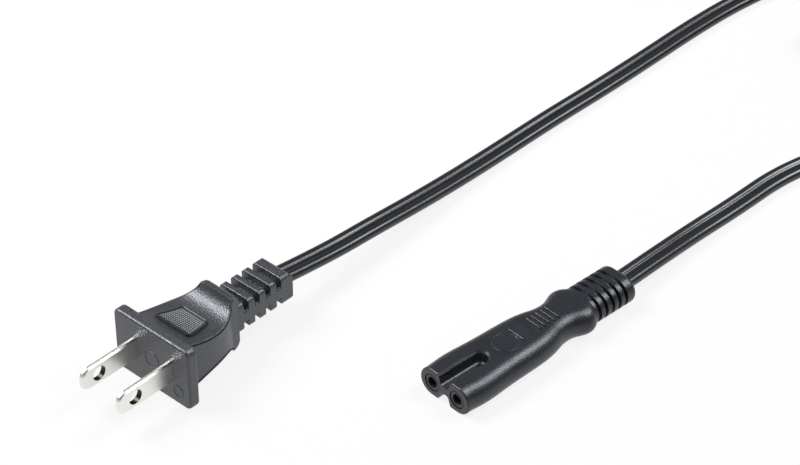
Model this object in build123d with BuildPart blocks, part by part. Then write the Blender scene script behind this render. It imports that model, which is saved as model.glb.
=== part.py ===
from build123d import *
import math
import os

os.makedirs("parts", exist_ok=True)

# All sizes in millimetres. X runs across the two blades, the blades point along -Y and Z is up.
# The origin is under the middle of the plug, on the surface that it lies on.

# Plug blades, ungrounded two-blade form
BLADE_PITCH = 12.7
BLADE_HEIGHT = 6.35
BLADE_THICKNESS = 1.5
BLADE_LENGTH = 17.3
BLADE_TIP_RADIUS = 2.6
BLADE_TIP_BEVEL = 0.45
BLADE_HOLE_RADIUS = 1.98
BLADE_HOLE_DISTANCE = 11.9
BLADE_ROOT = 4.2
TAIL_HEIGHT = 3.0
TAIL_THICKNESS = 1.0

# Plug moulding, distances counted back from the flange's face
PLUG_LENGTH = 43.3
FLANGE_WIDTH = 26.0
FLANGE_HEIGHT = 18.1
FLANGE_THICKNESS = 3.2
FLANGE_CORNER = 1.8
FLANGE_EDGE = 0.7
GRIP_END = 24.8
CREST_START = 22.0
CREST_HALF_WIDTH = 5.35
CREST_HALF_HEIGHT = 8.2
CREST_ROUND = 2.2
GRIP_END_HALF_WIDTH = 4.95
GRIP_EDGE = 0.4
PAD_RISE = 0.35
PAD_FRONT = 6.8
PAD_REAR = 15.0
PAD_FRONT_HALF_WIDTH = 6.2
PAD_REAR_HALF_WIDTH = 4.7
PAD_CORNER = 1.2

# Plug bridge: the hard inner moulding that sets the two blades' pitch
BRIDGE_START = 1.4
BRIDGE_END = 7.4
BRIDGE_WIDTH = 16.6
BRIDGE_HEIGHT = 9.4
BRIDGE_CORNER = 1.5

# Plug strain relief: ribs between slots that are cut from above and from below
RELIEF_WIDTH = 10.1
RELIEF_HEIGHT = 8.5
RELIEF_CORNER = 1.1
RELIEF_TOP_END_ROUND = 2.0
RELIEF_LOW_END_ROUND = 1.2
SLOT_WIDTH = 1.75
SLOT_PITCH = 3.78
SLOT_COUNT = 4
FIRST_SLOT = 27.1
UPPER_SLOT_FLOOR = 1.0
LOWER_SLOT_ROOF = -1.6
RELIEF_CORE_WIDTH = 7.4
RELIEF_CORE_HEIGHT = 4.4
RIB_FRONT_EDGE = 0.3
RIB_REAR_EDGE = 0.75
RIB_LOW_EDGE = 0.85

# Flat twin cord: two round lobes and the web that joins them
CORD_WIDTH = 6.3
CORD_THICKNESS = 3.0
CORD_WEB = 1.9
CORD_LENGTH = 1800.0
STRAND_RADIUS = 0.62
LOBE_OFFSET = (CORD_WIDTH - CORD_THICKNESS) / 2

# Crimps and cores inside the plug
CRIMP_START = 8.5
CRIMP_END = 13.0
CRIMP_RADIUS = 1.3
CRIMP_OFFSET = 5.9
PLUG_STRAND_START = 9.0
PLUG_WIRE_START = 14.5
PLUG_WIRE_BEND_OUT = 16.2
PLUG_WIRE_BEND_IN = 24.0
WIRE_BEND_RADIUS = 5.0

# Connector with two pin sockets, distances counted back from its nose
CONNECTOR_NOSE = (55.6, 30.4)
CONNECTOR_TURN = -4.58
CONNECTOR_HEIGHT = 7.8
CONNECTOR_LENGTH = 61.2
CONNECTOR_STATIONS = (
    (0.0, 8.5),
    (5.0, 8.62),
    (12.0, 8.45),
    (18.0, 8.12),
    (24.0, 7.95),
    (28.0, 7.7),
    (31.0, 7.25),
    (33.5, 6.6),
    (36.0, 6.05),
    (39.0, 6.1),
    (41.0, 6.75),
    (43.0, 7.45),
    (44.8, 7.35),
    (45.9, 6.75),
    (46.5, 6.05),
)
NOSE_EDGE = 0.4
NOTCH_ARC_CENTRE = 11.95
NOTCH_SECTIONS = (
    (2.85, 1.3),
    (0.5, 2.0),
    (0.0, 2.5),
)
NOTCH_FLOOR_ROUND = 0.9

# Connector strain relief: grooves that are shallow on top and underneath, and deep at the sides
NECK_START = 44.5
NECK_HALF_WIDTH = 6.05
NECK_END_EDGE = 1.3
GROOVE_WIDTH = 1.05
GROOVE_PITCH = 2.37
GROOVE_COUNT = 5
FIRST_GROOVE = 47.9
GROOVE_DEPTH = 1.6
GROOVE_TOP_DEPTH = 0.25

# Raised bars on top of the connector
BAR_LENGTH = 5.3
BAR_WIDTH = 0.5
BAR_RISE = 0.22
BAR_PITCH = 1.6
BAR_COUNT = 5
FIRST_BAR = 30.1
MARK_DISTANCE = 24.05
MARK_LENGTH = 5.6

# Connector core and contacts
SOCKET_PITCH = 8.6
MOUTH_RADIUS = 1.5
MOUTH_LENGTH = 1.8
CORE_TUBE_RADIUS = 2.45
CORE_RECESS = 0.3
CORE_END = 19.0
CORE_WEB_START = 15.0
CORE_WEB_HEIGHT = 4.6
CONTACT_BORE_RADIUS = 1.2
CONTACT_RADIUS = 1.65
CONTACT_BORE_END = 15.0
CONTACT_END = 16.2
CONTACT_SLIT = 0.5
CONTACT_CRIMP_END = 20.5
CONTACT_CRIMP_RADIUS = 1.25
CONTACT_STRAND_START = 16.8
CONTACT_WIRE_START = 22.0
CONTACT_WIRE_BEND_OUT = 23.6
CONTACT_WIRE_BEND_IN = 30.5

# Places that several pieces share
AXIS_Z = FLANGE_HEIGHT / 2
FACE_Y = BLADE_LENGTH - (BLADE_LENGTH + PLUG_LENGTH) / 2
PLUG_END_Y = FACE_Y + PLUG_LENGTH
SOCKET_OFFSET = SOCKET_PITCH / 2
HALF_HEIGHT = CONNECTOR_HEIGHT / 2
connector_axis = Plane(
    origin=(*CONNECTOR_NOSE, HALF_HEIGHT),
    x_dir=Vector(1, 0, 0).rotate(Axis.Z, CONNECTOR_TURN),
    z_dir=(0, 0, 1),
)
plug_axis = Plane(origin=(0, FACE_Y, AXIS_Z), x_dir=(1, 0, 0), z_dir=(0, 0, 1))

# Coil of the length that is put away: the cord stands on its edge in it, in two layers
COIL_CENTRE = (65.5, 241.5)
COIL_OUTER_TURN = 39.5
COIL_INNER_TURN = 29.5
COIL_HEIGHT = 2 * CORD_WIDTH
COIL_EDGE = 0.8

# Route from the plug's strain relief to the coil, and from the coil to the connector
connector_exit = connector_axis.from_local_coords(Vector(0, CONNECTOR_LENGTH, 0))
PLUG_ROUTE = (
    (0.0, PLUG_END_Y, AXIS_Z),
    (0.0, 47.0, 6.5),
    (0.1, 64.0, 5.45),
    (0.0, 82.0, 3.75),
    (-0.4, 100.0, 2.3),
    (-0.65, 118.0, 1.6),
    (-0.5, 137.0, 1.52),
    (0.35, 157.0, 1.52),
    (0.7, 177.0, 1.52),
    (0.7, 197.0, 1.52),
    (1.6, 217.0, 1.52),
    (5.0, 236.0, 1.85),
    (13.0, 254.0, 2.5),
    (27.0, 269.0, 3.0),
    (46.5, 279.0, 3.15),
    (COIL_CENTRE[0], COIL_CENTRE[1] + COIL_OUTER_TURN, CORD_WIDTH / 2),
)
CONNECTOR_ROUTE = (
    (connector_exit.X, connector_exit.Y, connector_exit.Z),
    (60.3, 107.0, 3.0),
    (60.1, 123.0, 1.8),
    (61.1, 140.0, 1.52),
    (61.6, 158.0, 1.52),
    (66.0, 175.0, 1.52),
    (76.0, 188.5, 2.1),
    (89.0, 199.0, 3.6),
    (99.5, 211.0, 5.8),
    (104.6, 226.0, 8.3),
    (COIL_CENTRE[0] + COIL_OUTER_TURN, COIL_CENTRE[1], 1.5 * CORD_WIDTH),
)


def section_plane(axis, distance):
    """Cross-section plane at a distance along an axis frame, facing its front end."""
    origin = axis.from_local_coords(Vector(0, distance, 0))
    return Plane(origin=origin, x_dir=axis.x_dir, z_dir=-axis.y_dir)


def side_plane(axis, offset):
    """Upright plane along an axis frame, with X along its length and Y up."""
    origin = axis.from_local_coords(Vector(offset, 0, 0))
    return Plane(origin=origin, x_dir=axis.y_dir, z_dir=axis.x_dir)


def plan_plane(axis, height):
    """Level plane at a height above an axis frame."""
    return Plane(origin=axis.origin + Vector(0, 0, height), x_dir=axis.x_dir, z_dir=(0, 0, 1))


def wire_route(axis, start, bends, end, outer):
    """Level route of one core, from its crimp in to its own lobe of the flat cord."""
    bend_out, bend_in = bends
    inner = math.copysign(LOBE_OFFSET, outer)
    corners = [(outer, start), (outer, bend_out), (inner, bend_in), (inner, end)]
    points = [axis.from_local_coords(Vector(x, y, 0)) for x, y in corners]
    return FilletPolyline(*points, radius=WIRE_BEND_RADIUS)


def corner_radii(points):
    """The largest neat radius for each corner of a route, from its two runs and its turn."""
    vectors = [Vector(*point) for point in points]
    radii = []
    for before, corner, after in zip(vectors, vectors[1:], vectors[2:]):
        run = min((corner - before).length, (after - corner).length)
        half_turn = math.radians((corner - before).get_angle(after - corner)) / 2
        radii.append(0.45 * run / math.tan(half_turn))
    return radii


def flat_cord(points, exit_plane):
    """Sweep the twin section from its moulding's end face, along straight runs and tangent arcs."""
    radii = corner_radii(points)
    print("arc radii", [round(radius, 1) for radius in radii])
    with BuildPart() as cord:
        with BuildLine() as route:
            FilletPolyline(*points, radius=radii)
        path = route.wire()
        with BuildSketch(exit_plane) as section:
            with Locations((LOBE_OFFSET, 0), (-LOBE_OFFSET, 0)):
                Circle(CORD_THICKNESS / 2)
            Rectangle(2 * LOBE_OFFSET, CORD_WEB)
        sweep(path=path)
    slant = (path % 0).dot(-exit_plane.z_dir)
    share = cord.part.volume / (section.sketch.area * slant * path.length)
    print("length", round(path.length, 1), "volume share", round(share, 4))
    return cord.part, path.length


def corner_row(sketch, row):
    """Corners along the lowest (0) or highest (-1) line of a sketch, from left to right."""
    return sketch.vertices().group_by(Axis.Y)[row].sort_by(Axis.X)


def scoop_points(rise):
    """Top line of the grip as distance and height: it dips, then climbs to the crest."""
    front = ((FLANGE_THICKNESS - 1, 7.6), (9.0, 5.65), (15.0, 4.8), (18.6, 5.1))
    return [(distance, height + rise) for distance, height in (*front, (CREST_START, CREST_HALF_HEIGHT))]


# Blades with their tails and crimps, in one piece of strip each
with BuildPart() as blade_right:
    with BuildSketch(side_plane(plug_axis, (BLADE_PITCH - BLADE_THICKNESS) / 2)) as blade_outline:
        with Locations(((BLADE_ROOT - BLADE_LENGTH) / 2, 0)):
            Rectangle(BLADE_LENGTH + BLADE_ROOT, BLADE_HEIGHT)
        fillet(blade_outline.vertices().group_by(Axis.X)[0], BLADE_TIP_RADIUS)
        with Locations((-BLADE_HOLE_DISTANCE, 0)):
            Circle(BLADE_HOLE_RADIUS, mode=Mode.SUBTRACT)
    extrude(amount=BLADE_THICKNESS)
    tip_line = FACE_Y - BLADE_LENGTH + BLADE_TIP_RADIUS
    tip_edges = blade_right.edges().filter_by(lambda edge: edge.center().Y < tip_line)
    chamfer(tip_edges.filter_by(Axis.X, reverse=True), BLADE_TIP_BEVEL)
    with BuildSketch(section_plane(plug_axis, BLADE_ROOT)):
        with Locations(((BLADE_PITCH - BLADE_THICKNESS + TAIL_THICKNESS) / 2, 0)):
            Rectangle(TAIL_THICKNESS, TAIL_HEIGHT)
    extrude(amount=BLADE_ROOT - CRIMP_START - 1)
    with BuildSketch(section_plane(plug_axis, CRIMP_START)):
        with Locations((CRIMP_OFFSET, 0)):
            Circle(CRIMP_RADIUS)
    extrude(amount=CRIMP_START - CRIMP_END)
    with BuildSketch(section_plane(plug_axis, PLUG_STRAND_START)):
        with Locations((CRIMP_OFFSET, 0)):
            Circle(STRAND_RADIUS)
    extrude(amount=PLUG_STRAND_START - CRIMP_END, mode=Mode.SUBTRACT)
with BuildPart() as blade_left:
    mirror(blade_right.part, about=Plane.YZ)

# Cores inside the plug: bare strands, and the insulation that ends short of the crimp
plug_bends = (PLUG_WIRE_BEND_OUT, PLUG_WIRE_BEND_IN)
with BuildPart() as plug_strand_right:
    with BuildLine() as strand_route:
        wire_route(plug_axis, PLUG_STRAND_START, plug_bends, PLUG_LENGTH, CRIMP_OFFSET)
    with BuildSketch(section_plane(plug_axis, PLUG_STRAND_START)):
        with Locations((CRIMP_OFFSET, 0)):
            Circle(STRAND_RADIUS)
    sweep(path=strand_route.line)
with BuildPart() as plug_strand_left:
    mirror(plug_strand_right.part, about=Plane.YZ)
with BuildPart() as plug_wire_right:
    with BuildLine() as wire_line:
        wire_route(plug_axis, PLUG_WIRE_START, plug_bends, PLUG_LENGTH, CRIMP_OFFSET)
    with BuildSketch(section_plane(plug_axis, PLUG_WIRE_START)):
        with Locations((CRIMP_OFFSET, 0)):
            Circle(CORD_THICKNESS / 2)
            Circle(STRAND_RADIUS, mode=Mode.SUBTRACT)
    sweep(path=wire_line.line)
with BuildPart() as plug_wire_left:
    mirror(plug_wire_right.part, about=Plane.YZ)

# Bridge between the blades
with BuildPart() as plug_bridge:
    with BuildSketch(section_plane(plug_axis, BRIDGE_START)):
        RectangleRounded(BRIDGE_WIDTH, BRIDGE_HEIGHT, BRIDGE_CORNER)
    extrude(amount=BRIDGE_START - BRIDGE_END)
    add(blade_right.part, mode=Mode.SUBTRACT)
    add(blade_left.part, mode=Mode.SUBTRACT)

# Grip of the plug: its plan is rounded in to the crest, its top and underside are scooped
with BuildPart() as grip:
    with BuildSketch(plan_plane(plug_axis, 0)):
        with BuildLine():
            Spline((9.0, FLANGE_THICKNESS - 1), (9.25, 9.0), (8.45, 16.0), (CREST_HALF_WIDTH, CREST_START))
            Line((CREST_HALF_WIDTH, CREST_START), (GRIP_END_HALF_WIDTH, GRIP_END))
            Line((GRIP_END_HALF_WIDTH, GRIP_END), (0, GRIP_END))
            Line((0, FLANGE_THICKNESS - 1), (9.0, FLANGE_THICKNESS - 1))
            mirror(about=Plane.YZ)
        make_face()
    extrude(amount=FLANGE_HEIGHT / 2, both=True)
    with BuildSketch(side_plane(plug_axis, 0)) as grip_profile:
        with BuildLine():
            Spline(*scoop_points(0))
            Line((CREST_START, CREST_HALF_HEIGHT), (GRIP_END, CREST_HALF_HEIGHT))
            Line((GRIP_END, CREST_HALF_HEIGHT), (GRIP_END, 0))
            Line(scoop_points(0)[0], (FLANGE_THICKNESS - 1, 0))
            mirror(about=Plane.XZ)
        make_face()
    extrude(amount=FLANGE_WIDTH / 2, both=True, mode=Mode.INTERSECT)
    rear_edges = grip.faces().sort_by(Axis.Y)[-1].edges().sort_by(Axis.Z)
    fillet([rear_edges[0], rear_edges[-1]], CREST_ROUND)
    grip_front = FACE_Y + FLANGE_THICKNESS - 0.9
    side_edges = grip.edges().filter_by(lambda edge: abs(edge.center().X) > 3 and edge.center().Y > grip_front)
    fillet(side_edges.filter_by(lambda edge: abs(edge.center().Z - AXIS_Z) > 3), GRIP_EDGE)

# Raised pads of the grip, above and below
with BuildPart() as pads:
    with BuildSketch(plan_plane(plug_axis, 0)) as pad_outline:
        with BuildLine():
            Polyline(
                (PAD_FRONT_HALF_WIDTH, PAD_FRONT),
                (PAD_REAR_HALF_WIDTH, PAD_REAR),
                (-PAD_REAR_HALF_WIDTH, PAD_REAR),
                (-PAD_FRONT_HALF_WIDTH, PAD_FRONT),
                close=True,
            )
        make_face()
        fillet(pad_outline.vertices(), PAD_CORNER)
    extrude(amount=FLANGE_HEIGHT / 2, both=True)
    with BuildSketch(side_plane(plug_axis, 0)):
        with BuildLine():
            Spline(*scoop_points(PAD_RISE))
            Line(scoop_points(PAD_RISE)[-1], (CREST_START, 0))
            Line(scoop_points(PAD_RISE)[0], (FLANGE_THICKNESS - 1, 0))
            mirror(about=Plane.XZ)
        make_face()
    extrude(amount=FLANGE_WIDTH / 2, both=True, mode=Mode.INTERSECT)

# Strain relief of the plug: a comb in side view, with rounded ribs, cut to its rounded section
relief_start = GRIP_END - 1
slot_middle = FIRST_SLOT + (SLOT_COUNT - 1) * SLOT_PITCH / 2
with BuildPart() as plug_relief:
    with BuildSketch(side_plane(plug_axis, 0)) as comb:
        with Locations(((relief_start + PLUG_LENGTH) / 2, 0)):
            Rectangle(PLUG_LENGTH - relief_start, RELIEF_HEIGHT)
        with Locations((slot_middle, UPPER_SLOT_FLOOR + RELIEF_HEIGHT / 2)):
            with GridLocations(SLOT_PITCH, 1, SLOT_COUNT, 1):
                Rectangle(SLOT_WIDTH, RELIEF_HEIGHT, mode=Mode.SUBTRACT)
        with Locations((slot_middle, LOWER_SLOT_ROOF - RELIEF_HEIGHT / 2)):
            with GridLocations(SLOT_PITCH, 1, SLOT_COUNT, 1):
                Rectangle(SLOT_WIDTH, RELIEF_HEIGHT, mode=Mode.SUBTRACT)
        fillet(corner_row(comb, -1)[2:-1:2], RIB_FRONT_EDGE)
        fillet(corner_row(comb, -1)[3:-1:2], RIB_REAR_EDGE)
        fillet(corner_row(comb, -1)[-1], RELIEF_TOP_END_ROUND)
        fillet(corner_row(comb, 0)[1:-1], RIB_LOW_EDGE)
        fillet(corner_row(comb, 0)[-1], RELIEF_LOW_END_ROUND)
    extrude(amount=RELIEF_WIDTH, both=True)
    with BuildSketch(section_plane(plug_axis, relief_start)):
        RectangleRounded(RELIEF_WIDTH, RELIEF_HEIGHT, RELIEF_CORNER)
    extrude(amount=relief_start - PLUG_LENGTH, mode=Mode.INTERSECT)
with BuildPart() as relief_core:
    with BuildSketch(section_plane(plug_axis, GRIP_END - 1)):
        RectangleRounded(RELIEF_CORE_WIDTH, RELIEF_CORE_HEIGHT, RELIEF_CORE_HEIGHT / 3)
    extrude(amount=GRIP_END - PLUG_LENGTH)

# Moulded body of the plug, with room in it for each inner piece
with BuildPart() as plug_body:
    with BuildSketch(section_plane(plug_axis, 0)):
        RectangleRounded(FLANGE_WIDTH, FLANGE_HEIGHT, FLANGE_CORNER)
    extrude(amount=-FLANGE_THICKNESS)
    fillet(plug_body.faces().sort_by(Axis.Y)[0].edges(), FLANGE_EDGE)
    fillet(plug_body.faces().sort_by(Axis.Y)[-1].edges(), FLANGE_EDGE)
    add(grip.part)
    add(pads.part)
    add(plug_relief.part)
    add(relief_core.part)
    for inner in (blade_right, blade_left, plug_bridge):
        add(inner.part, mode=Mode.SUBTRACT)
    for inner in (plug_strand_right, plug_strand_left, plug_wire_right, plug_wire_left):
        add(inner.part, mode=Mode.SUBTRACT)

# Cord: the two lengths that lie out, and the coil of all the rest as its outer shape
cord_plug_run, plug_run_length = flat_cord(PLUG_ROUTE, section_plane(plug_axis, PLUG_LENGTH))
connector_end = section_plane(connector_axis, CONNECTOR_LENGTH)
cord_connector_run, connector_run_length = flat_cord(CONNECTOR_ROUTE, connector_end)
with BuildPart() as cord_coil:
    with BuildSketch(Plane.XY):
        with Locations(COIL_CENTRE):
            Circle(COIL_OUTER_TURN + CORD_THICKNESS / 2)
            Circle(COIL_INNER_TURN - CORD_THICKNESS / 2, mode=Mode.SUBTRACT)
    extrude(amount=COIL_HEIGHT)
    chamfer(cord_coil.edges().filter_by(GeomType.CIRCLE), COIL_EDGE)
    add(cord_plug_run, mode=Mode.SUBTRACT)
    add(cord_connector_run, mode=Mode.SUBTRACT)
coiled = CORD_LENGTH - plug_run_length - connector_run_length
turns = coiled / (math.pi * (COIL_OUTER_TURN + COIL_INNER_TURN))
print("coiled length", round(coiled, 1), "turns", round(turns, 2))

# Contacts of the connector: slit tubes that grip the pins, each with its own crimp
with BuildPart() as contact_right:
    with BuildSketch(section_plane(connector_axis, MOUTH_LENGTH)):
        with Locations((SOCKET_OFFSET, 0)):
            Circle(CONTACT_RADIUS)
    extrude(amount=MOUTH_LENGTH - CONTACT_END)
    with BuildSketch(section_plane(connector_axis, MOUTH_LENGTH)):
        with Locations((SOCKET_OFFSET, 0)):
            Circle(CONTACT_BORE_RADIUS)
        with Locations((SOCKET_OFFSET, CONTACT_RADIUS)):
            Rectangle(CONTACT_SLIT, 2 * CONTACT_RADIUS)
    extrude(amount=MOUTH_LENGTH - CONTACT_BORE_END, mode=Mode.SUBTRACT)
    with BuildSketch(section_plane(connector_axis, CONTACT_END)):
        with Locations((SOCKET_OFFSET, 0)):
            Circle(CONTACT_CRIMP_RADIUS)
    extrude(amount=CONTACT_END - CONTACT_CRIMP_END)
    with BuildSketch(section_plane(connector_axis, CONTACT_STRAND_START)):
        with Locations((SOCKET_OFFSET, 0)):
            Circle(STRAND_RADIUS)
    extrude(amount=CONTACT_STRAND_START - CONTACT_CRIMP_END, mode=Mode.SUBTRACT)
with BuildPart() as contact_left:
    mirror(contact_right.part, about=side_plane(connector_axis, 0))

# Cores inside the connector
connector_bends = (CONTACT_WIRE_BEND_OUT, CONTACT_WIRE_BEND_IN)
with BuildPart() as connector_strand_right:
    with BuildLine() as contact_strand_route:
        wire_route(connector_axis, CONTACT_STRAND_START, connector_bends, CONNECTOR_LENGTH, SOCKET_OFFSET)
    with BuildSketch(section_plane(connector_axis, CONTACT_STRAND_START)):
        with Locations((SOCKET_OFFSET, 0)):
            Circle(STRAND_RADIUS)
    sweep(path=contact_strand_route.line)
with BuildPart() as connector_strand_left:
    mirror(connector_strand_right.part, about=side_plane(connector_axis, 0))
with BuildPart() as connector_wire_right:
    with BuildLine() as contact_wire_route:
        wire_route(connector_axis, CONTACT_WIRE_START, connector_bends, CONNECTOR_LENGTH, SOCKET_OFFSET)
    with BuildSketch(section_plane(connector_axis, CONTACT_WIRE_START)):
        with Locations((SOCKET_OFFSET, 0)):
            Circle(CORD_THICKNESS / 2)
            Circle(STRAND_RADIUS, mode=Mode.SUBTRACT)
    sweep(path=contact_wire_route.line)
with BuildPart() as connector_wire_left:
    mirror(connector_wire_right.part, about=side_plane(connector_axis, 0))

# Core of the connector: a tube round each contact, joined behind the notches
with BuildPart() as connector_core:
    with BuildSketch(section_plane(connector_axis, CORE_RECESS)):
        with Locations((SOCKET_OFFSET, 0), (-SOCKET_OFFSET, 0)):
            Circle(CORE_TUBE_RADIUS)
    extrude(amount=CORE_RECESS - CORE_END)
    with BuildSketch(section_plane(connector_axis, CORE_WEB_START)):
        Rectangle(SOCKET_PITCH, CORE_WEB_HEIGHT)
    extrude(amount=CORE_WEB_START - CORE_END)
    with BuildSketch(section_plane(connector_axis, CORE_RECESS)):
        with Locations((SOCKET_OFFSET, 0), (-SOCKET_OFFSET, 0)):
            Circle(MOUTH_RADIUS)
    extrude(amount=CORE_RECESS - MOUTH_LENGTH, mode=Mode.SUBTRACT)
    with BuildSketch(section_plane(connector_axis, MOUTH_LENGTH)):
        with Locations((SOCKET_OFFSET, 0), (-SOCKET_OFFSET, 0)):
            Circle(CONTACT_RADIUS)
    extrude(amount=MOUTH_LENGTH - CONTACT_END, mode=Mode.SUBTRACT)
    with BuildSketch(section_plane(connector_axis, CONTACT_END)):
        with Locations((SOCKET_OFFSET, 0), (-SOCKET_OFFSET, 0)):
            Circle(CONTACT_CRIMP_RADIUS)
    extrude(amount=CONTACT_END - CORE_END, mode=Mode.SUBTRACT)

# Tapered notch along the top and the underside of the connector, from the nose back
with BuildPart() as notches:
    for depth, half_width in NOTCH_SECTIONS:
        notch_length = 2 * NOTCH_ARC_CENTRE + 2 * half_width
        with BuildSketch(plan_plane(connector_axis, HALF_HEIGHT - depth)):
            SlotOverall(notch_length, 2 * half_width, rotation=90)
    loft(ruled=True)
    fillet(notches.faces().sort_by(Axis.Z)[0].edges(), NOTCH_FLOOR_ROUND)
    mirror(about=plan_plane(connector_axis, 0))

# Moulded body of the connector
with BuildPart() as connector_body:
    for distance, half_width in CONNECTOR_STATIONS:
        with BuildSketch(section_plane(connector_axis, distance)):
            SlotOverall(2 * half_width, CONNECTOR_HEIGHT)
    loft()
    with BuildSketch(section_plane(connector_axis, NECK_START)):
        SlotOverall(2 * NECK_HALF_WIDTH, CONNECTOR_HEIGHT)
    extrude(amount=NECK_START - CONNECTOR_LENGTH)
    fillet(connector_body.faces().sort_by(Axis.Y)[-1].edges(), NECK_END_EDGE)
    fillet(connector_body.faces().sort_by(Axis.Y)[0].edges(), NOSE_EDGE)
    groove_starts = [FIRST_GROOVE - GROOVE_WIDTH / 2 + index * GROOVE_PITCH for index in range(GROOVE_COUNT)]
    with BuildSketch(*[section_plane(connector_axis, distance) for distance in groove_starts]):
        Rectangle(4 * NECK_HALF_WIDTH, 2 * CONNECTOR_HEIGHT)
        Ellipse(NECK_HALF_WIDTH - GROOVE_DEPTH, HALF_HEIGHT - GROOVE_TOP_DEPTH, mode=Mode.SUBTRACT)
    extrude(amount=-GROOVE_WIDTH, mode=Mode.SUBTRACT)
    with BuildSketch(plan_plane(connector_axis, HALF_HEIGHT - BAR_RISE)):
        with Locations(*[(0, FIRST_BAR + index * BAR_PITCH) for index in range(BAR_COUNT)]):
            SlotOverall(BAR_LENGTH, BAR_WIDTH)
        with Locations((0, MARK_DISTANCE)):
            SlotOverall(MARK_LENGTH, BAR_WIDTH)
    extrude(amount=2 * BAR_RISE)
    add(notches.part, mode=Mode.SUBTRACT)
    with BuildSketch(section_plane(connector_axis, 0)):
        with Locations((SOCKET_OFFSET, 0), (-SOCKET_OFFSET, 0)):
            Circle(CORE_TUBE_RADIUS)
    extrude(amount=-CORE_END, mode=Mode.SUBTRACT)
    for inner in (connector_core, contact_right, contact_left):
        add(inner.part, mode=Mode.SUBTRACT)
    for inner in (connector_strand_right, connector_strand_left, connector_wire_right, connector_wire_left):
        add(inner.part, mode=Mode.SUBTRACT)

plug_body.part.label = "plug_body"
export_step(plug_body.part, "parts/plug_body.step")
plug_bridge.part.label = "plug_bridge"
export_step(plug_bridge.part, "parts/plug_bridge.step")
blade_right.part.label = "blade_right"
export_step(blade_right.part, "parts/blade_right.step")
blade_left.part.label = "blade_left"
export_step(blade_left.part, "parts/blade_left.step")
plug_strand_right.part.label = "plug_strand_right"
export_step(plug_strand_right.part, "parts/plug_strand_right.step")
plug_strand_left.part.label = "plug_strand_left"
export_step(plug_strand_left.part, "parts/plug_strand_left.step")
plug_wire_right.part.label = "plug_wire_right"
export_step(plug_wire_right.part, "parts/plug_wire_right.step")
plug_wire_left.part.label = "plug_wire_left"
export_step(plug_wire_left.part, "parts/plug_wire_left.step")
cord_plug_run.label = "cord_plug_run"
export_step(cord_plug_run, "parts/cord_plug_run.step")
cord_coil.part.label = "cord_coil"
export_step(cord_coil.part, "parts/cord_coil.step")
cord_connector_run.label = "cord_connector_run"
export_step(cord_connector_run, "parts/cord_connector_run.step")
connector_body.part.label = "connector_body"
export_step(connector_body.part, "parts/connector_body.step")
connector_core.part.label = "connector_core"
export_step(connector_core.part, "parts/connector_core.step")
contact_right.part.label = "contact_right"
export_step(contact_right.part, "parts/contact_right.step")
contact_left.part.label = "contact_left"
export_step(contact_left.part, "parts/contact_left.step")
connector_strand_right.part.label = "connector_strand_right"
export_step(connector_strand_right.part, "parts/connector_strand_right.step")
connector_strand_left.part.label = "connector_strand_left"
export_step(connector_strand_left.part, "parts/connector_strand_left.step")
connector_wire_right.part.label = "connector_wire_right"
export_step(connector_wire_right.part, "parts/connector_wire_right.step")
connector_wire_left.part.label = "connector_wire_left"
export_step(connector_wire_left.part, "parts/connector_wire_left.step")
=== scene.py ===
"""Looks of the power cord: its plug, flat cord and connector, laid out on a white floor."""

import math

import bmesh
import bpy
from mathutils import Matrix, Vector
from mathutils.bvhtree import BVHTree


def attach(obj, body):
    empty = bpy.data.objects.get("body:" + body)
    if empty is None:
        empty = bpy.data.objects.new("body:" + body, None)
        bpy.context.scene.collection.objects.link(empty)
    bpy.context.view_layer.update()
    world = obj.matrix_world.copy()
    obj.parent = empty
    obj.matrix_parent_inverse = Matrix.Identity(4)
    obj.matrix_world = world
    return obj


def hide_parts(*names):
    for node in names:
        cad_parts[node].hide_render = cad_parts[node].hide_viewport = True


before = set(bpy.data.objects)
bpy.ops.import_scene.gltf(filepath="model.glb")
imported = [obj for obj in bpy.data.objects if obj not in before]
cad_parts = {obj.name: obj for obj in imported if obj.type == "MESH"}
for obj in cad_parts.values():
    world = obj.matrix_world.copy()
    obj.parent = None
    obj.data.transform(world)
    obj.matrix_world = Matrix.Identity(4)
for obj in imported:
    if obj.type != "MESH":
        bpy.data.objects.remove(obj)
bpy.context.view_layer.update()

# Sizes in metres, in the frame's own axes: +Y the way the cord leaves the plug, +Z up

# Flat twin cord: a smooth lobe and a lobe with fine ribs, joined by a neck
CORD_WIDTH = 0.0063
CORD_THICKNESS = 0.003
CORD_NECK = 0.0017
LOBE_OFFSET = (CORD_WIDTH - CORD_THICKNESS) / 2
RIB_COUNT = 12
RIB_DEPTH = 0.0001

# Plug: distances along it are counted from the flange's face
PLUG_AXIS_Z = 0.00905
FACE_Y = -0.013
PLUG_LENGTH = 0.0433
PLUG_EXIT = (0.0, FACE_Y + PLUG_LENGTH, PLUG_AXIS_Z)
FLANGE_THICKNESS = 0.0032
CREST_START = 0.022
BLADE_HOLE = (0.0, FACE_Y - 0.0119, PLUG_AXIS_Z)
BLADE_HOLE_RADIUS = 0.00202

# Pads of the grip: a raised rim round a field of small studs, each outline given by its
# front and rear corners as half width and distance, and a bar as half width and distance
PAD_RIM = 0.00027
PAD_CORNERS = ((0.006, 0.007), (0.0045, 0.0148))
PAD_RIM_CORNER = 0.0012
PAD_BAR = (0.0051, 0.0075)
PAD_BAR_STEPS = 12
STUD_ROWS = 10
STUD_COLUMNS = 13
STUD_FIELD = ((0.0049, 0.0082), (0.0037, 0.0139))
STUD_BASE = 0.00027
STUD_TOP = 0.00007
STUD_RISE = 0.0001

# Lip along the grip's scooped edges, and the painted shadow line under it, a thin near-black bead:
# both start a little behind the flange and end a little past the start of the crest
LIP_RADIUS = 0.00025
LIP_SINK = 0.9
LIP_INSET = 0.0006
LIP_START = 0.0009
LIP_END = 0.0008
LIP_STEPS = 40
SHADOW_LINE_RADIUS = 0.00013
SHADOW_LINE_DROP = 0.00055

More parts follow.
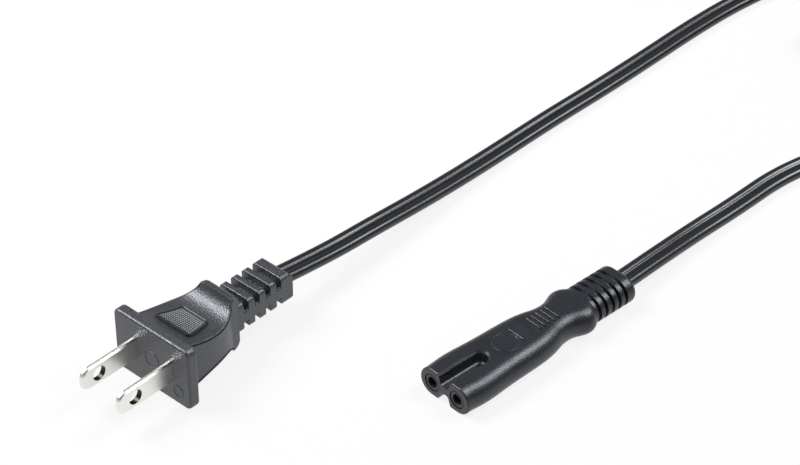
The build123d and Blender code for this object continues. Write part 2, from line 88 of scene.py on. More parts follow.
# Rays that find the plug's surface start this far out, and this far off its middle plane
PROBE_REACH = 0.03
PROBE_RISE = 0.002

# Round mould marks: on the flange's face as across, up and radius, and on the connector's
# top as across, distance from its nose and radius
RING_BEAD = 0.0001
FLANGE_RINGS = ((0.0089, 0.0041, 0.0017), (0.0, 0.00905, 0.0024))
FLANGE_RING_STEPS = 40
CONNECTOR_RING = (0.0003, 0.0202, 0.0034)
CONNECTOR_RING_STEPS = 48

# Connector: where its nose lies, how it is turned, its length, and its top above its axis
CONNECTOR_NOSE = Vector((0.0556, 0.0304, 0.0039))
CONNECTOR_TURN = math.radians(-4.58)
CONNECTOR_LENGTH = 0.0612
CONNECTOR_TOP = 0.0039

# Front rim of the connector's core round a socket, as radius and height off the nose
SOCKET_OFFSET = 0.0043
SOCKET_RIM = (
    (0.0015, -0.0004),
    (0.0015, -0.00022),
    (0.00162, -0.0001),
    (0.0018, -0.00005),
    (0.0021, -0.0001),
    (0.00224, -0.00025),
    (0.00224, -0.0004),
)

# Bars on the connector, counted back from its nose, and the longer bar ahead of them
BAR_COUNT = 5
BAR_PITCH = 0.0016
BAR_LENGTH = 0.0053
BAR_BEAD = 0.00022
BAR_TIP = 0.6 * BAR_BEAD
BAR_RISE = 0.00022
FIRST_BAR = 0.0301
LONG_BAR_DISTANCE = 0.02405
LONG_BAR_LENGTH = 0.0056

# Small raised forms: sides of a bead, its radius at an open end as a part of the whole, and
# steps round a turned form
BEAD_SIDES = 8
BEAD_TAPER = 0.35
LATHE_STEPS = 40

# Steps round each corner and along each side of a rounded outline
CORNER_STEPS = 6
SIDE_STEPS = 10

# Coil of the spare cord: two layers on edge, with the turns' radii and heights given at the
# cord's middle, and the part of a turn in which it climbs to the upper layer
COIL_CENTRE = (0.0655, 0.2415)
COIL_OUTER_TURN = 0.0395
COIL_INNER_TURN = 0.0295
COIL_TURNS = 6.25
COIL_START = math.radians(90)
COIL_POINTS_PER_TURN = 14
COIL_LOW_Z = CORD_WIDTH / 2
COIL_HIGH_Z = 3 * CORD_WIDTH / 2
CLIMB_TURNS = 0.35

# Strap round the coil: its place round the ring in degrees, and the outline steps that its
# free end laps
TIE_ANGLE = 215
TIE_WIDTH = 0.008
TIE_THICKNESS = 0.0007
TIE_EDGE = TIE_THICKNESS * 0.3
TIE_LAP = 0.00075
TIE_REACH = 0.0019
TIE_CORNER = 0.0022
TIE_TAIL = (26, 46)

# Route of the cord from the plug to the coil, and from the connector to the coil
PLUG_ROUTE = (
    PLUG_EXIT,
    (0.0, 0.047, 0.0065),
    (0.0001, 0.064, 0.00545),
    (0.0, 0.082, 0.00375),
    (-0.0004, 0.1, 0.0023),
    (-0.00065, 0.118, 0.0016),
    (-0.0005, 0.137, 0.00152),
    (0.00035, 0.157, 0.00152),
    (0.0007, 0.177, 0.00152),
    (0.0007, 0.197, 0.00152),
    (0.0016, 0.217, 0.00152),
    (0.005, 0.236, 0.00185),
    (0.013, 0.254, 0.0025),
    (0.027, 0.269, 0.003),
    (0.0465, 0.279, 0.00315),
)
CONNECTOR_ROUTE = (
    (0.0603, 0.107, 0.003),
    (0.0601, 0.123, 0.0018),
    (0.0611, 0.14, 0.00152),
    (0.0616, 0.158, 0.00152),
    (0.066, 0.175, 0.00152),
    (0.076, 0.1885, 0.0021),
    (0.089, 0.199, 0.0036),
    (0.0995, 0.211, 0.0058),
    (0.1046, 0.226, 0.0083),
)
ROUTE_RESOLUTION = 7

# Stretches in which the cord turns onto its edge: from the plug, and from the connector
TWIST_BEFORE_COIL = (0.2, 0.283)
TWIST_AFTER_COIL = (0.085, 0.155)

# Plastics: scale of the slow change of colour, the fine grain's share of it, the grain of the
# gloss as a part of the bump's, and a cool tint of the gloss
SLOW_CHANGE = 120
GRAIN_SHARE = 0.7
GLOSS_GRAIN = 0.9
GLOSS_TINT = (0.9, 0.94, 1, 1)

# Part of a noise's range over which the colour changes
RAMP_START = 0.35
RAMP_END = 0.65

# Sockets of a Mix node, which has two inputs and a result for each kind of value
NUMBER_FIRST, NUMBER_SECOND, NUMBER_RESULT = 2, 3, 0
COLOUR_FIRST, COLOUR_SECOND, COLOUR_RESULT = 6, 7, 2

# Edges that turn by more than these angles, in degrees, stay crisp
CAD_SHARP = 32
RELIEF_SHARP = 40
STUD_SHARP = 20
CORD_SHARP = 50
NORMAL_WEIGHT = 80

# Studio: floor, even light, and lamps as direction, size in metres and power in watts
FLOOR_REACH = 3.0
FLOOR_GREY = (0.5, 0.5, 0.5, 1)
FLOOR_ROUGHNESS = 0.9
FLOOR_WHITE = 0.85
WORLD_LEVEL = 0.27
LAMP_AIM = Vector((0.03, 0.02, 0.0))
LAMP_DISTANCE = 1.0
LAMPS = {
    "soft_box_front_left": ((-0.58, -0.25, 0.77), (0.5, 0.5), 15.5),
    "soft_box_overhead": ((0.34, 0.53, 0.78), (0.4, 0.5), 8.0),
}

# The photograph's camera: turned by degrees down from level and round from +Y, with its
# sensor and lens in millimetres
CAMERA_PLACE = (0.36991, -0.32746, 0.42238)
CAMERA_DOWN = 37.865
CAMERA_ROUND = 42.571
CAMERA_SENSOR = 36
CAMERA_LENS = 118.68
CAMERA_RANGE = (0.01, 20)


def connector_point(across, along, up):
    """A point given from the connector's nose, in the frame's axes."""
    return CONNECTOR_NOSE + Matrix.Rotation(CONNECTOR_TURN, 3, "Z") @ Vector((across, along, up))


# Materials


class Nodes:
    """Short calls for building one material's nodes."""

    def __init__(self, name):
        self.material = bpy.data.materials.new(name)
        self.material.use_nodes = True
        self.tree = self.material.node_tree
        self.shader = self.tree.nodes["Principled BSDF"]
        self.coordinates = self.tree.nodes.new("ShaderNodeTexCoord").outputs["Object"]

    def link(self, source, target):
        self.tree.links.new(source, target)

    def set(self, **values):
        """Plain values on the shader's own sockets."""
        for name, value in values.items():
            self.shader.inputs[name.replace("_", " ")].default_value = value

    def noise(self, scale, detail=3.0, stretch=(1, 1, 1)):
        mapping = self.tree.nodes.new("ShaderNodeMapping")
        mapping.inputs["Scale"].default_value = stretch
        self.link(self.coordinates, mapping.inputs["Vector"])
        noise = self.tree.nodes.new("ShaderNodeTexNoise")
        noise.inputs["Scale"].default_value = scale
        noise.inputs["Detail"].default_value = detail
        self.link(mapping.outputs["Vector"], noise.inputs["Vector"])
        return noise.outputs["Fac"]

    def mixed(self, first, second, second_share):
        """One factor from two, of which the second has the share given."""
        node = self.tree.nodes.new("ShaderNodeMix")
        node.inputs["Factor"].default_value = second_share
        self.link(first, node.inputs[NUMBER_FIRST])
        self.link(second, node.inputs[NUMBER_SECOND])
        return node.outputs[NUMBER_RESULT]

    def ramp(self, factor, low, high):
        ramp = self.tree.nodes.new("ShaderNodeValToRGB")
        ramp.color_ramp.elements[0].position = RAMP_START
        ramp.color_ramp.elements[1].position = RAMP_END
        ramp.color_ramp.elements[0].color = low
        ramp.color_ramp.elements[1].color = high
        self.link(factor, ramp.inputs["Fac"])
        return ramp.outputs["Color"]

    def colour(self, factor, low, high):
        self.link(self.ramp(factor, (*low, 1), (*high, 1)), self.shader.inputs["Base Color"])

    def near_axis(self, axis_place, radius):
        """1 within a radius of a line along X through a place, and 0 outside it."""
        shift = self.tree.nodes.new("ShaderNodeVectorMath")
        shift.operation = "SUBTRACT"
        shift.inputs[1].default_value = axis_place
        self.link(self.coordinates, shift.inputs[0])
        flat = self.tree.nodes.new("ShaderNodeVectorMath")
        flat.operation = "MULTIPLY"
        flat.inputs[1].default_value = (0, 1, 1)
        self.link(shift.outputs["Vector"], flat.inputs[0])
        length = self.tree.nodes.new("ShaderNodeVectorMath")
        length.operation = "LENGTH"
        self.link(flat.outputs["Vector"], length.inputs[0])
        inside = self.tree.nodes.new("ShaderNodeMath")
        inside.operation = "LESS_THAN"
        inside.inputs[1].default_value = radius
        self.link(length.outputs["Value"], inside.inputs[0])
        return inside.outputs["Value"]

    def blend(self, factor, below, above):
        """A linked colour where the factor is 0, and a plain one where it is 1."""
        blend = self.tree.nodes.new("ShaderNodeMix")
        blend.data_type = "RGBA"
        self.link(factor, blend.inputs["Factor"])
        self.link(below, blend.inputs[COLOUR_FIRST])
        blend.inputs[COLOUR_SECOND].default_value = above
        return blend.outputs[COLOUR_RESULT]

    def roughness(self, factor, low, high):
        value = self.tree.nodes.new("ShaderNodeMapRange")
        value.inputs["To Min"].default_value = low
        value.inputs["To Max"].default_value = high
        self.link(factor, value.inputs["Value"])
        self.link(value.outputs["Result"], self.shader.inputs["Roughness"])

    def bump(self, factor, distance):
        bump = self.tree.nodes.new("ShaderNodeBump")
        bump.inputs["Distance"].default_value = distance
        bump.inputs["Strength"].default_value = 1.0
        self.link(factor, bump.inputs["Height"])
        self.link(bump.outputs["Normal"], self.shader.inputs["Normal"])


def soft_plastic(name, low, high, roughness, grain, grain_depth, gloss):
    """Moulded PVC: a fine grain, a slow change of colour and a satin gloss."""
    nodes = Nodes(name)
    nodes.set(Specular_IOR_Level=gloss, Specular_Tint=GLOSS_TINT)
    mottle = nodes.mixed(nodes.noise(SLOW_CHANGE), nodes.noise(grain, detail=4), GRAIN_SHARE)
    nodes.colour(mottle, low, high)
    nodes.roughness(nodes.noise(grain * GLOSS_GRAIN, detail=2), *roughness)
    nodes.bump(nodes.noise(grain, detail=5), grain_depth)
    return nodes.material


def nickel():
    """Bright plate with a faint grain, and painted shade on the wall of the blade's hole."""
    nodes = Nodes("nickel_plate")
    nodes.set(Metallic=1.0)
    plate = nodes.ramp(nodes.noise(90), low=(0.80, 0.785, 0.745, 1), high=(0.88, 0.865, 0.83, 1))
    # Near-black base within the hole's radius: painted shade on the hole's wall
    hole_shade = nodes.near_axis(BLADE_HOLE, BLADE_HOLE_RADIUS)
    base_colour = nodes.blend(hole_shade, below=plate, above=(0.03, 0.027, 0.022, 1))
    nodes.link(base_colour, nodes.shader.inputs["Base Color"])
    nodes.roughness(nodes.noise(500), low=0.28, high=0.38)
    nodes.bump(nodes.noise(200, detail=2), distance=0.000006)
    return nodes.material


def tinned_brass():
    """Pale plated metal of the sockets' contacts."""
    nodes = Nodes("tinned_brass")
    nodes.set(Metallic=1.0)
    nodes.colour(nodes.noise(400), low=(0.62, 0.55, 0.38), high=(0.78, 0.72, 0.55))
    nodes.roughness(nodes.noise(900, detail=4), low=0.25, high=0.4)
    return nodes.material


def copper():
    """Bundles of fine strands, with ridges drawn out along the wire."""
    nodes = Nodes("copper_strands")
    nodes.set(Metallic=1.0)
    nodes.colour(nodes.noise(500), low=(0.68, 0.30, 0.17), high=(0.85, 0.44, 0.28))
    nodes.roughness(nodes.noise(900, detail=4), low=0.25, high=0.4)
    nodes.bump(nodes.noise(4000, detail=2, stretch=(1, 0.1, 1)), distance=0.00005)
    return nodes.material


moulding = soft_plastic(
    "moulding_pvc",
    low=(0.002, 0.0024, 0.0036),
    high=(0.026, 0.0275, 0.0335),
    roughness=(0.27, 0.46),
    grain=2600,
    grain_depth=0.00015,
    gloss=0.95,
)
smooth_moulding = soft_plastic(
    "smooth_moulding",
    low=(0.004, 0.0045, 0.006),
    high=(0.008, 0.0085, 0.011),
    roughness=(0.3, 0.36),
    grain=900,
    grain_depth=0.00001,
    gloss=0.6,
)
connector_pvc = soft_plastic(
    "connector_pvc",
    low=(0.002, 0.0026, 0.0046),
    high=(0.0105, 0.012, 0.017),
    roughness=(0.27, 0.42),
    grain=2600,
    grain_depth=0.00008,
    gloss=0.6,
)
hard_plastic = soft_plastic(
    "hard_plastic",
    low=(0.008, 0.008, 0.010),
    high=(0.016, 0.016, 0.018),
    roughness=(0.34, 0.44),
    grain=2500,
    grain_depth=0.00002,
    gloss=0.6,
)
cord_pvc = soft_plastic(
    "cord_pvc",
    low=(0.0015, 0.0017, 0.0025),
    high=(0.0035, 0.0038, 0.005),
    roughness=(0.25, 0.29),
    grain=60,
    grain_depth=0.00001,
    gloss=0.7,
)
# Near-black and matt: painted shade, used only for the shadow line under the grip's lip
painted_shadow_line = soft_plastic(
    "painted_shadow_line",
    low=(0.001, 0.001, 0.0012),
    high=(0.002, 0.002, 0.0022),
    roughness=(0.85, 0.95),
    grain=2500,
    grain_depth=0.00002,
    gloss=0.1,
)
tie_fabric = soft_plastic(
    "tie_fabric",
    low=(0.008, 0.008, 0.009),
    high=(0.03, 0.03, 0.032),
    roughness=(0.75, 0.9),
    grain=2600,
    grain_depth=0.0001,
    gloss=0.3,
)
blade_metal = nickel()
contact_metal = tinned_brass()
strand_metal = copper()


# CAD pieces that show as they are

NODE_MATERIALS = {
    "plug_body": moulding,
    "plug_bridge": hard_plastic,
    "blade_right": blade_metal,
    "blade_left": blade_metal,
    "plug_wire_right": cord_pvc,
    "plug_wire_left": cord_pvc,
    "plug_strand_right": strand_metal,
    "plug_strand_left": strand_metal,
    "connector_body": connector_pvc,
    "connector_core": hard_plastic,
    "contact_right": contact_metal,
    "contact_left": contact_metal,
    "connector_wire_right": cord_pvc,
    "connector_wire_left": cord_pvc,
    "connector_strand_right": strand_metal,
    "connector_strand_left": strand_metal,
}


def dress(node, material):
    """Smooth shading that keeps the crisp edges, and the piece's own material."""
    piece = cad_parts[node]
    piece.data.materials.clear()
    piece.data.materials.append(material)
    piece.data.shade_smooth()
    piece.data.set_sharp_from_angle(angle=math.radians(CAD_SHARP))
    normals = piece.modifiers.new("even_normals", "WEIGHTED_NORMAL")
    normals.keep_sharp = True
    normals.weight = NORMAL_WEIGHT


for node, material in NODE_MATERIALS.items():
    dress(node, material)


# Forms laid along a path


def heading(path, index, closed):
    """The way a path runs at one of its points."""
    if closed:
        return (path[(index + 1) % len(path)] - path[index - 1]).normalized()
    return (path[min(index + 1, len(path) - 1)] - path[max(index - 1, 0)]).normalized()


def skin(rings, size, closed):
    """Faces over rings of vertices: joined up if closed, and shut at both ends if not."""
    faces = []
    for ring in range(rings if closed else rings - 1):
        first = ring * size
        follow = ((ring + 1) % rings) * size
        for step in range(size):
            turn = (step + 1) % size
            faces.append((first + step, first + turn, follow + turn, follow + step))
    if not closed:
        faces.append(tuple(reversed(range(size))))
        faces.append(tuple(range((rings - 1) * size, rings * size)))
    return faces


def mix(low, high, part):
    return low + (high - low) * part


def smooth_step(value):
    value = min(max(value, 0.0), 1.0)
    return value * value * (3 - 2 * value)


def rounded_outline(corners, cut):
    """A closed outline through the corners, each of them rounded off."""
    outline = []
    for index, corner in enumerate(corners):
        before = corner + (corners[index - 1] - corner).normalized() * cut
        after_corner = corners[(index + 1) % len(corners)]
        after = corner + (after_corner - corner).normalized() * cut
        for step in range(CORNER_STEPS + 1):
            part = step / CORNER_STEPS
            rounded = before * (1 - part) ** 2 + corner * 2 * part * (1 - part) + after * part**2
            outline.append(rounded)
        side_end = after_corner + (corner - after_corner).normalized() * cut
        for step in range(1, SIDE_STEPS):
            outline.append(after.lerp(side_end, step / SIDE_STEPS))
    return outline


# Fine detail on the mouldings


class Relief:
    """Gathers the small raised forms of one piece, and makes them one mesh."""

    def __init__(self, name, material, slot):
        self.name, self.material, self.slot = name, material, slot
        self.vertices = []
        self.faces = []

    def add(self, vertices, faces):
        first = len(self.vertices)
        self.vertices += vertices
        self.faces += [tuple(first + index for index in face) for face in faces]

    def bead(self, path, normals, radius, closed=False):
        """A round ridge along a path, half sunk in, that tapers off at open ends."""
        vertices = []
        for index, (place, normal) in enumerate(zip(path, normals)):
            along = heading(path, index, closed)
            across = along.cross(normal).normalized()
            up = across.cross(along)
            at_end = not closed and index in (0, len(path) - 1)
            size = radius * BEAD_TAPER if at_end else radius
            for step in range(BEAD_SIDES):
                angle = math.tau * step / BEAD_SIDES
                vertices.append(place + (across * math.cos(angle) + up * math.sin(angle)) * size)
        self.add(vertices, skin(len(path), BEAD_SIDES, closed))

    def stud(self, place, normal):
        """A small square stud with sloping sides, its foot sunk in."""
        side = Vector((1, 0, 0))
        side = (side - normal * side.dot(normal)).normalized()
        ahead = normal.cross(side)
        vertices = []
        for half, height in ((STUD_BASE, -STUD_RISE / 2), (STUD_TOP, STUD_RISE)):
            for across, along in ((-1, -1), (1, -1), (1, 1), (-1, 1)):
                vertices.append(place + side * across * half + ahead * along * half + normal * height)
        self.add(vertices, skin(2, 4, closed=False))

    def lathe(self, profile, place, axis):
        """A closed profile of radius and height, turned round an axis."""
        side = axis.orthogonal().normalized()
        other = axis.cross(side)
        vertices = []
        for step in range(LATHE_STEPS):
            angle = math.tau * step / LATHE_STEPS
            out = side * math.cos(angle) + other * math.sin(angle)
            vertices += [place + out * radius + axis * height for radius, height in profile]
        self.add(vertices, skin(LATHE_STEPS, len(profile), closed=True))

    def finish(self, sharp=RELIEF_SHARP):
        """The mesh, with every face turned outwards, as a piece of the scene."""
        mesh = bpy.data.meshes.new(self.name)
        mesh.from_pydata(self.vertices, [], self.faces)
        mesh.validate()
        shells = bmesh.new()
        shells.from_mesh(mesh)
        bmesh.ops.recalc_face_normals(shells, faces=shells.faces)
        shells.to_mesh(mesh)
        shells.free()
        mesh.shade_smooth()
        mesh.set_sharp_from_angle(angle=math.radians(sharp))
        mesh.materials.append(self.material)
        made = bpy.data.objects.new(self.name, mesh)
        bpy.context.collection.objects.link(made)
        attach(made, "root")


def surface(node):
    """A CAD piece's surface, for rays to meet."""
    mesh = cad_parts[node].data
    corners = [vertex.co for vertex in mesh.vertices]
    return BVHTree.FromPolygons(corners, [tuple(face.vertices) for face in mesh.polygons])


plug_surface = surface("plug_body")


def on_grip(x, distance, up):
    """The grip's top or underside at a place, and its outward normal."""
    start = Vector((x, FACE_Y + distance, PLUG_AXIS_Z + up * PROBE_REACH))
    place, normal, *_ = plug_surface.ray_cast(start, Vector((0, 0, -up)))
    return place, normal


def bead_on_grip(relief, spots, up, closed=False):
    """A bead on the grip through spots given as across and distance."""
    places, normals = zip(*(on_grip(x, distance, up) for x, distance in spots))
    relief.bead(places, normals, PAD_RIM, closed)


def pad(up):
    """Rim, front bar and studs of the grip's pad."""
    side = "top" if up > 0 else "underside"
    rim = Relief(f"pad_rim_{side}", smooth_moulding, "moulding")
    studs = Relief(f"pad_studs_{side}", smooth_moulding, "moulding")

    (front_half, front), (rear_half, rear) = PAD_CORNERS
    front_side = [Vector((-front_half, front)), Vector((front_half, front))]
    rear_side = [Vector((rear_half, rear)), Vector((-rear_half, rear))]
    bead_on_grip(rim, rounded_outline(front_side + rear_side, PAD_RIM_CORNER), up, closed=True)
    half, distance = PAD_BAR
    parts = [index / PAD_BAR_STEPS for index in range(PAD_BAR_STEPS + 1)]
    bead_on_grip(rim, [(mix(-half, half, part), distance) for part in parts], up)

    (front_half, front), (rear_half, rear) = STUD_FIELD
    for row in range(STUD_ROWS):
        part = row / (STUD_ROWS - 1)
        half = mix(front_half, rear_half, part)
        for column in range(STUD_COLUMNS):
            x = mix(-half, half, column / (STUD_COLUMNS - 1))
            studs.stud(*on_grip(x, mix(front, rear, part), up))
    rim.finish()
    studs.finish(STUD_SHARP)


def grip_edge(side, up):
    """Places along the edge where a scooped face of the grip meets its side."""
    edge = []
    for index in range(LIP_STEPS + 1):
        distance = mix(FLANGE_THICKNESS + LIP_START, CREST_START + LIP_END, index / LIP_STEPS)
        start = Vector((side * PROBE_REACH, FACE_Y + distance, PLUG_AXIS_Z + up * PROBE_RISE))
        wall = plug_surface.ray_cast(start, Vector((-side, 0, 0)))[0]
        top = on_grip(wall.x - side * LIP_INSET, distance, up)[0]
        edge.append(Vector((wall.x, wall.y, top.z)))
    return edge


def grip_lips():
    """The lip where the grip's scooped faces meet its sides, and the painted shadow line under it, a
    thin near-black bead.
    """
    lips = Relief("grip_lips", moulding, "moulding")
    # Near-black beads just below the lip: painted shade standing for the shadow under the lip
    shadow_lines = Relief("grip_painted_shadow_lines", painted_shadow_line, "moulding")
    for side in (1, -1):
        out = Vector((side, 0, 0))
        for up in (1, -1):
            edge = grip_edge(side, up)
            corner = Vector((side, 0, up))
            lip_path = [place - corner * LIP_RADIUS * LIP_SINK for place in edge]
            shadow_line_path = [place - Vector((0, 0, up * SHADOW_LINE_DROP)) for place in edge]
            lips.bead(lip_path, [corner.normalized()] * len(edge), LIP_RADIUS)
            shadow_lines.bead(shadow_line_path, [out] * len(edge), SHADOW_LINE_RADIUS)
    lips.finish()
    shadow_lines.finish()


def circle(radius, steps):
    """Places round a circle, as two offsets from its middle."""
    angles = [math.tau * step / steps for step in range(steps)]
    return [(radius * math.cos(angle), radius * math.sin(angle)) for angle in angles]


def flange_rings():
    """Round mould marks on the flange's face."""
    relief = Relief("flange_rings", moulding, "moulding")
    outward = Vector((0, -1, 0))
    for x, z, radius in FLANGE_RINGS:
        path = [Vector((x + side, FACE_Y, z + up)) for side, up in circle(radius, FLANGE_RING_STEPS)]
        relief.bead(path, [outward] * len(path), RING_BEAD, closed=True)
    relief.finish()


def connector_relief():
    """Rounded tops of the grip bars and the longer bar, and the round mould mark."""
    relief = Relief("connector_bars", connector_pvc, "connector")
    up = Vector((0, 0, 1))
    bars = [(FIRST_BAR + index * BAR_PITCH, BAR_LENGTH) for index in range(BAR_COUNT)]
    for distance, length in (*bars, (LONG_BAR_DISTANCE, LONG_BAR_LENGTH)):
        half = length / 2 - BAR_BEAD
        places = (-half - BAR_TIP, -half, -half / 3, half / 3, half, half + BAR_TIP)
        path = [connector_point(across, distance, CONNECTOR_TOP + BAR_RISE) for across in places]
        relief.bead(path, [up] * len(path), BAR_BEAD)

    across, along, radius = CONNECTOR_RING
    path = [
        connector_point(across + side, along + ahead, CONNECTOR_TOP)
        for side, ahead in circle(radius, CONNECTOR_RING_STEPS)
    ]
    relief.bead(path, [up] * len(path), RING_BEAD, closed=True)
    relief.finish()


def socket_rims():
    """The rounded front rim of the core round each socket."""
    relief = Relief("socket_rims", hard_plastic, "connector_core")
    forward = connector_point(0, -1, 0) - connector_point(0, 0, 0)
    for side in (1, -1):
        relief.lathe(SOCKET_RIM, connector_point(side * SOCKET_OFFSET, 0, 0), forward)
    relief.finish()


pad(1)
pad(-1)
grip_lips()
flange_rings()
connector_relief()
socket_rims()


# The flat cord


def coil_points():
    """Turns wound inwards on the floor, then a second layer wound outwards on top of them."""
    count = int(COIL_TURNS * COIL_POINTS_PER_TURN)
    # The curve runs inside its control points, so these stand outside the turns
    spread = 1 / math.cos(math.pi / COIL_POINTS_PER_TURN)
    points = []
    for index in range(count + 1):
        part = index / count
        angle = COIL_START - part * COIL_TURNS * math.tau
        inward = 1 - abs(2 * part - 1)
        radius = mix(COIL_OUTER_TURN, COIL_INNER_TURN, inward)
        rise = smooth_step((part - 0.5) * COIL_TURNS / CLIMB_TURNS + 0.5)
        if 0 < index < count:
            radius *= spread
        x = COIL_CENTRE[0] + radius * math.cos(angle)
        y = COIL_CENTRE[1] + radius * math.sin(angle)
        points.append((x, y, mix(COIL_LOW_Z, COIL_HIGH_Z, rise)))
    return points


def spline_points(route):
    """The points of one smooth curve along the route, as Blender evaluates it."""
    curve = bpy.data.curves.new("cord_route", "CURVE")
    curve.dimensions = "3D"
    curve.resolution_u = ROUTE_RESOLUTION
    spline = curve.splines.new("NURBS")
    spline.points.add(len(route) - 1)
    for point, place in zip(spline.points, route):
        point.co = (*place, 1)
    spline.order_u = 3
    spline.use_endpoint_u = True
    carrier = bpy.data.objects.new("cord_route", curve)
    mesh = bpy.data.meshes.new_from_object(carrier)
    points = [vertex.co.copy() for vertex in mesh.vertices]
    bpy.data.objects.remove(carrier)
    bpy.data.meshes.remove(mesh)
    return points


def twin_section():
    """Outline of the twin cord: a smooth round lobe, a soft groove, and a lobe with fine ribs."""
    outline = []
    groove = math.degrees(math.asin(CORD_NECK / CORD_THICKNESS))
    sweep = 360 - 2 * groove
    steps = 2 * RIB_COUNT
    for side, start in ((1, 180 - groove), (-1, -groove)):
        for step in range(steps + 1):
            angle = math.radians(start - step * sweep / steps)
            radius = CORD_THICKNESS / 2
            if side < 0 and step % 2:
                radius -= RIB_DEPTH
            across = side * LOBE_OFFSET + radius * math.cos(angle)
            outline.append((across, radius * math.sin(angle)))
    return outline


def on_edge(distance, stretch):
    """How far the cord has turned onto its edge, from 0 to 1, over a stretch of its length."""
    start, end = stretch
    return smooth_step((distance - start) / (end - start))


def cord_mesh(points):
    """The cord's skin along the points: flat where it lies out, and on its edge in the coil."""
    lengths = [0.0]
    for before, after in zip(points, points[1:]):
        lengths.append(lengths[-1] + (after - before).length)
    outline = twin_section()
    vertices = []
    for index, (point, length) in enumerate(zip(points, lengths)):
        ahead = heading(points, index, closed=False)
        side = Vector((0, 0, 1)).cross(ahead).normalized()
        up = ahead.cross(side)
        left = lengths[-1] - length
        edgewise = min(on_edge(length, TWIST_BEFORE_COIL), on_edge(left, TWIST_AFTER_COIL))
        turn = math.radians(90) * edgewise
        width = side * math.cos(turn) + up * math.sin(turn)
        depth = up * math.cos(turn) - side * math.sin(turn)
        vertices += [point - width * across + depth * high for across, high in outline]
    mesh = bpy.data.meshes.new("flat_cord")
    mesh.from_pydata(vertices, [], skin(len(points), len(outline), closed=False))
    mesh.validate()
    mesh.shade_smooth()
    mesh.set_sharp_from_angle(angle=math.radians(CORD_SHARP))
    mesh.materials.append(cord_pvc)
    return mesh


def strap(outline, lift, closed):
    """Vertices and faces of a flat strap, lifted off an outline of radius and height."""
    turn = math.radians(TIE_ANGLE)
    out = Vector((math.cos(turn), math.sin(turn), 0))
    across = Vector((-math.sin(turn), math.cos(turn), 0))
    half = TIE_WIDTH / 2
    section = (
        (-half, TIE_EDGE),
        (-half, TIE_THICKNESS - TIE_EDGE),
        (-half + TIE_EDGE, TIE_THICKNESS),
        (half - TIE_EDGE, TIE_THICKNESS),
        (half, TIE_THICKNESS - TIE_EDGE),
        (half, TIE_EDGE),
        (half - TIE_EDGE, 0),
        (-half + TIE_EDGE, 0),
    )
    vertices = []
    for index, spot in enumerate(outline):
        along = heading(outline, index, closed)
        normal = Vector((along.y, -along.x))
        for side, high in section:
            place = spot + normal * (high + lift)
            middle = Vector((*COIL_CENTRE, 0)) + out * place.x + Vector((0, 0, place.y))
            vertices.append(middle + across * side)
    return vertices, skin(len(outline), len(section), closed)


def tie():
    """A fabric strap round the coil's turns, its free end lapped over the top and the outer side."""
    relief = Relief("coil_tie", tie_fabric, "cord")
    inner, outer = COIL_INNER_TURN - TIE_REACH, COIL_OUTER_TURN + TIE_REACH
    low, high = TIE_THICKNESS, COIL_HIGH_Z + CORD_WIDTH / 2
    floor_side = [Vector((inner, low)), Vector((outer, low))]
    top_side = [Vector((outer, high)), Vector((inner, high))]
    outline = rounded_outline(floor_side + top_side, TIE_CORNER)
    tail_start, tail_end = TIE_TAIL
    relief.add(*strap(outline, 0.0, closed=True))
    relief.add(*strap(outline[tail_start:tail_end], TIE_LAP, closed=False))
    relief.finish()


tie()
connector_exit = connector_point(0, CONNECTOR_LENGTH, 0)
route = [*PLUG_ROUTE, *coil_points(), *reversed(CONNECTOR_ROUTE), tuple(connector_exit)]
cord_line = spline_points(route)
flat_cord = bpy.data.objects.new("flat_cord", cord_mesh(cord_line))
bpy.context.collection.objects.link(flat_cord)
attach(flat_cord, "root")
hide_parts("cord_plug_run", "cord_coil", "cord_connector_run")


# Studio: a white floor that keeps the shadow, soft lamps, and the photograph's camera


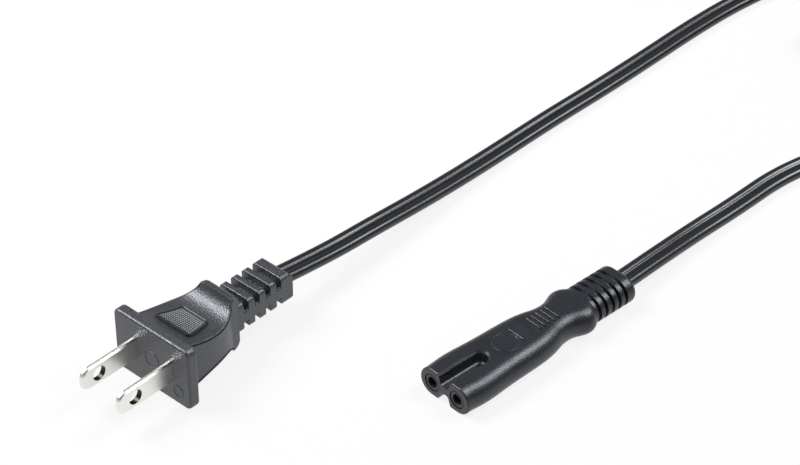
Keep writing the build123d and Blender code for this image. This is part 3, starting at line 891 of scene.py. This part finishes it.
def floor():
    """White to the camera and in reflections, but still with a part of its own shading."""
    mesh = bpy.data.meshes.new("floor")
    corners = [(x * FLOOR_REACH, y * FLOOR_REACH, 0) for x, y in ((-1, -1), (1, -1), (1, 1), (-1, 1))]
    mesh.from_pydata(corners, [], [(0, 1, 2, 3)])
    plane = bpy.data.objects.new("floor", mesh)
    bpy.context.collection.objects.link(plane)
    material = bpy.data.materials.new("white_floor")
    material.use_nodes = True
    tree = material.node_tree
    matt = tree.nodes["Principled BSDF"]
    matt.inputs["Base Color"].default_value = FLOOR_GREY
    matt.inputs["Roughness"].default_value = FLOOR_ROUGHNESS
    matt.inputs["Specular IOR Level"].default_value = 0.0
    white = tree.nodes.new("ShaderNodeEmission")
    rays = tree.nodes.new("ShaderNodeLightPath")
    seen = rays.outputs["Is Camera Ray"]
    for name in ("Is Glossy Ray", "Is Transmission Ray"):
        either = tree.nodes.new("ShaderNodeMath")
        either.operation = "MAXIMUM"
        tree.links.new(seen, either.inputs[0])
        tree.links.new(rays.outputs[name], either.inputs[1])
        seen = either.outputs["Value"]
    share = tree.nodes.new("ShaderNodeMath")
    share.operation = "MULTIPLY"
    share.inputs[1].default_value = FLOOR_WHITE
    tree.links.new(seen, share.inputs[0])
    blend = tree.nodes.new("ShaderNodeMixShader")
    tree.links.new(share.outputs["Value"], blend.inputs["Fac"])
    tree.links.new(matt.outputs["BSDF"], blend.inputs[1])
    tree.links.new(white.outputs["Emission"], blend.inputs[2])
    tree.links.new(blend.outputs["Shader"], tree.nodes["Material Output"].inputs["Surface"])
    mesh.materials.append(material)


def white_room():
    """An even grey light all round, and white where the camera sees past the floor."""
    world = bpy.data.worlds.new("white_room")
    world.use_nodes = True
    tree = world.node_tree
    even = tree.nodes["Background"]
    even.inputs["Color"].default_value = (1, 1, 1, 1)
    even.inputs["Strength"].default_value = WORLD_LEVEL
    white = tree.nodes.new("ShaderNodeBackground")
    white.inputs["Color"].default_value = (1, 1, 1, 1)
    rays = tree.nodes.new("ShaderNodeLightPath")
    blend = tree.nodes.new("ShaderNodeMixShader")
    tree.links.new(rays.outputs["Is Camera Ray"], blend.inputs["Fac"])
    tree.links.new(even.outputs["Background"], blend.inputs[1])
    tree.links.new(white.outputs["Background"], blend.inputs[2])
    tree.links.new(blend.outputs["Shader"], tree.nodes["World Output"].inputs["Surface"])
    bpy.context.scene.world = world


def lamp(name, direction, size, power):
    """A soft box that hangs in a direction from the object, and faces it."""
    light = bpy.data.lights.new(name, "AREA")
    light.shape = "RECTANGLE"
    light.size, light.size_y = size
    light.energy = power
    lamp_object = bpy.data.objects.new(name, light)
    lamp_object.location = LAMP_AIM + Vector(direction).normalized() * LAMP_DISTANCE
    lamp_object.rotation_euler = (-Vector(direction)).to_track_quat("-Z", "Y").to_euler()
    bpy.context.collection.objects.link(lamp_object)


def photo_camera():
    """The place, turn and lens from which the photograph was taken."""
    data = bpy.data.cameras.new("photo_camera")
    data.sensor_width = CAMERA_SENSOR
    data.lens = CAMERA_LENS
    data.clip_start, data.clip_end = CAMERA_RANGE
    camera = bpy.data.objects.new("photo_camera", data)
    camera.location = CAMERA_PLACE
    camera.rotation_euler = (math.radians(90 - CAMERA_DOWN), 0, math.radians(CAMERA_ROUND))
    bpy.context.collection.objects.link(camera)
    bpy.context.scene.camera = camera


floor()
white_room()
for name, (direction, size, power) in LAMPS.items():
    lamp(name, direction, size, power)
photo_camera()
bpy.context.scene.view_settings.view_transform = "Standard"
